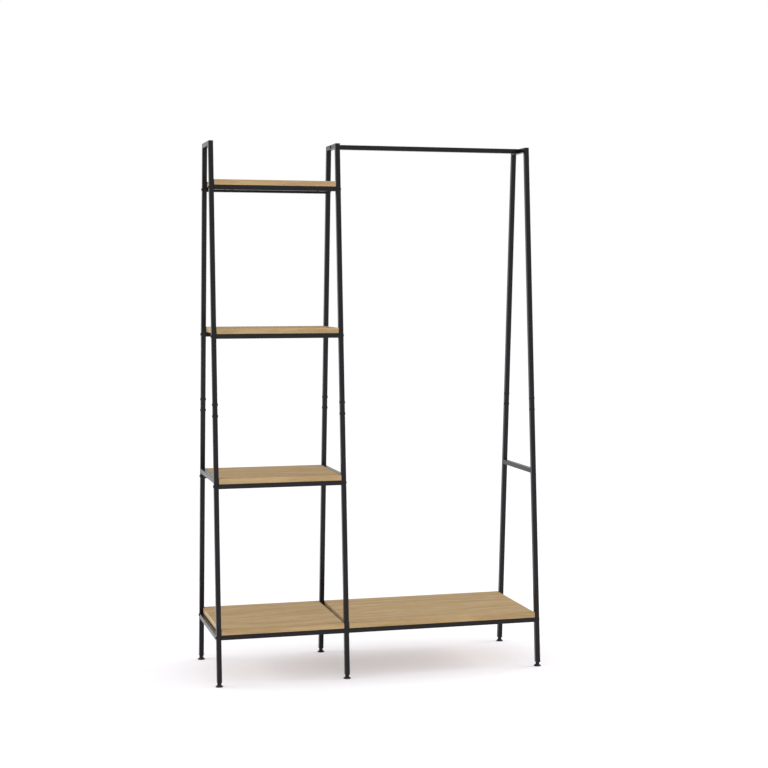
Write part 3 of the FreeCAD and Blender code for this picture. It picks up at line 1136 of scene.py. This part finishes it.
@dataclass
class Shelf:
    """A board on its two rails."""

    shelf_name: ShelfName

    def build(self, finishes: Finishes) -> None:
        """Dress the board and its rails.

        Args:
            finishes: the rack's finishes.
        """
        for side in LegSide:
            dress(f"{side.value}_rail_{self.shelf_name.value}", finishes.made[Slot.FRAME])
        board = f"shelf_{self.shelf_name.value}"
        dress(board, finishes.oak.material(finishes.effects, board))


@dataclass
class Hardware:
    """The hanging rail and all fasteners, sleeves and plugs."""

    groups: dict[Slot, tuple[str, ...]] = field(default_factory=lambda: {
        Slot.FRAME: ("hanging_rail", "splice_sleeves"),
        Slot.BOLT: ("splice_bolts", "splice_nuts", "rail_bolts", "hanging_rail_bolts"),
        Slot.ZINC: ("rail_plugs", "middle_studs", "shelf_screws", "hanging_rail_plugs"),
        Slot.PLUG: ("foot_plugs",),
    })

    def build(self, finishes: Finishes) -> None:
        """Dress each group.

        Args:
            finishes: the rack's finishes.
        """
        for slot, names in self.groups.items():
            for name in names:
                dress(name, finishes.made[slot])


@dataclass(frozen=True)
class Lamp:
    """A square soft lamp, which the camera and reflections don't see."""

    name: str
    place: Point
    target: Point
    power: float
    size: float = 3.0

    def hang(self) -> None:
        """Hang the lamp and turn it to its target."""
        data = bpy.data.lights.new(self.name, "AREA")
        data.shape = "SQUARE"
        data.size = self.size
        data.energy = self.power
        lamp = put(self.name, data)
        lamp.location = self.place
        aim = Vector(self.target) - Vector(self.place)
        lamp.rotation_euler = aim.to_track_quat("-Z", "Y").to_euler()
        lamp.visible_camera = False
        lamp.visible_glossy = False


@dataclass
class Studio:
    """Pale floor, white surroundings, soft lamps and the photograph's camera."""

    # The photograph's frame, the camera's focal length and the row of its level axis.
    image_px: float = 768.0
    focal_px: float = 1585.3
    axis_row_px: float = 353.4
    sensor: float = 36.0
    eye: Point = (-1.3736, -5.3224, 1.3281)
    pitch_deg: float = 2.555
    yaw_deg: float = 15.057
    floor_size: float = 60.0
    floor_colour: Colour = (0.82, 0.808, 0.84)
    floor_roughness: float = 0.9
    floor_gloss: float = 0.1
    # The floor's own glow, near and far, and the distances between which it rises.
    glow_colour: Colour = (1.0, 0.99, 1.03)
    near_glow: float = 0.245
    far_glow: float = 0.5
    near_reach: float = 2.0
    far_reach: float = 6.5
    ambient: float = 0.67
    ambient_colour: Colour = (1.0, 0.995, 0.99)
    white: Colour = (1.0, 1.0, 1.0)
    white_level: float = 1.0
    lamps: tuple[Lamp, ...] = (
        Lamp("left_lamp", (-4.5, 0.5, 1.6), (0.0, 0.0, 0.5), 139.0),
        Lamp("right_lamp", (4.5, 0.0, 1.6), (0.0, 0.0, 0.5), 157.0),
        Lamp("front_lamp", (-0.5, -6.5, 1.7), (0.0, 0.0, 1.0), 145.0),
    )

    def camera(self) -> None:
        """Place the camera where the photograph was taken from."""
        data = bpy.data.cameras.new("photo_camera")
        data.sensor_width = self.sensor
        data.lens = self.focal_px / self.image_px * self.sensor
        data.shift_y = (self.axis_row_px - self.image_px / 2) / self.image_px
        made = put("photo_camera", data)
        made.location = self.eye
        upright = math.pi / 2
        down, aside = math.radians(self.pitch_deg), math.radians(self.yaw_deg)
        made.rotation_euler = Euler((upright - down, 0.0, -aside))
        bpy.context.scene.camera = made

    def floor(self) -> None:
        """Lay the floor, which shows the rack's shadow and turns white in the distance."""
        half = self.floor_size / 2
        corners = [(-half, -half, 0), (half, -half, 0), (half, half, 0), (-half, half, 0)]
        mesh = bpy.data.meshes.new("floor")
        mesh.from_pydata(corners, [], [(0, 1, 2, 3)])
        piece = put("floor", mesh)
        material = bpy.data.materials.new("pale_floor")
        material.use_nodes = True
        graph = Graph(material.node_tree)
        shader = material.node_tree.nodes["Principled BSDF"]
        shader.inputs["Base Color"].default_value = opaque(self.floor_colour)
        shader.inputs["Roughness"].default_value = self.floor_roughness
        shader.inputs["Specular IOR Level"].default_value = self.floor_gloss
        away = graph.vector("LENGTH", graph.coordinates()).outputs["Value"]
        rise = Slope(self.near_reach, self.far_reach, self.near_glow, self.far_glow)
        shine = graph.math("MULTIPLY", self.seen(graph), graph.slope(away, rise))
        inputs = {"Color": opaque(self.glow_colour), "Strength": shine}
        glow = graph.add("ShaderNodeEmission", inputs)
        total = graph.add("ShaderNodeAddShader", {0: shader.outputs[0], 1: glow.outputs[0]})
        output = material.node_tree.nodes["Material Output"]
        graph.link(total.outputs[0], output.inputs["Surface"])
        mesh.materials.append(material)

    @staticmethod
    def seen(graph: Graph) -> Socket:
        """Mask of the rays that see white, which light nothing.

        Args:
            graph: graph of the floor or the surroundings.

        Returns:
            Socket that is 1 for rays of the camera, reflections and clear parts, and 0
            for light on the object.
        """
        ray = graph.add("ShaderNodeLightPath")
        direct = graph.math("MAXIMUM", ray.outputs["Is Camera Ray"], ray.outputs["Is Glossy Ray"])
        return graph.math("MAXIMUM", direct, ray.outputs["Is Transmission Ray"])

    @staticmethod
    def background(graph: Graph, colour: Colour, level: float) -> Socket:
        """Background shader of one colour."""
        inputs = {"Color": opaque(colour), "Strength": level}
        return graph.add("ShaderNodeBackground", inputs).outputs[0]

    def surroundings(self) -> None:
        """White to the camera and in reflections, soft light on the object."""
        world = bpy.data.worlds.new("studio")
        world.use_nodes = True
        graph = Graph(world.node_tree)
        graph.tree.nodes.clear()
        soft = self.background(graph, self.ambient_colour, self.ambient)
        white = self.background(graph, self.white, self.white_level)
        mixed = graph.add("ShaderNodeMixShader", {0: self.seen(graph), 1: soft, 2: white})
        graph.add("ShaderNodeOutputWorld", {"Surface": mixed.outputs[0]})
        bpy.context.scene.world = world

    def build(self) -> None:
        """Set up the whole studio."""
        self.camera()
        self.floor()
        self.surroundings()
        for lamp in self.lamps:
            lamp.hang()
        bpy.context.scene.view_settings.view_transform = "Standard"
        log.info("studio: lens %.2f mm", bpy.context.scene.camera.data.lens)


def main() -> None:
    """Build the studio, dress the rack and add its fine pieces."""
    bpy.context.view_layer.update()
    Studio().build()
    finishes = Finishes()
    feet: list[LevellingFoot] = []
    for frame_name in FrameName:
        feet.extend(EndFrame(frame_name).build(finishes))
    for shelf_name in ShelfName:
        Shelf(shelf_name).build(finishes)
    Hardware().build(finishes)
    for foot in feet:
        foot.build(finishes)
    WeldBeads(tuple(FrameName)).build(finishes)


if __name__ == "__main__":
    main()
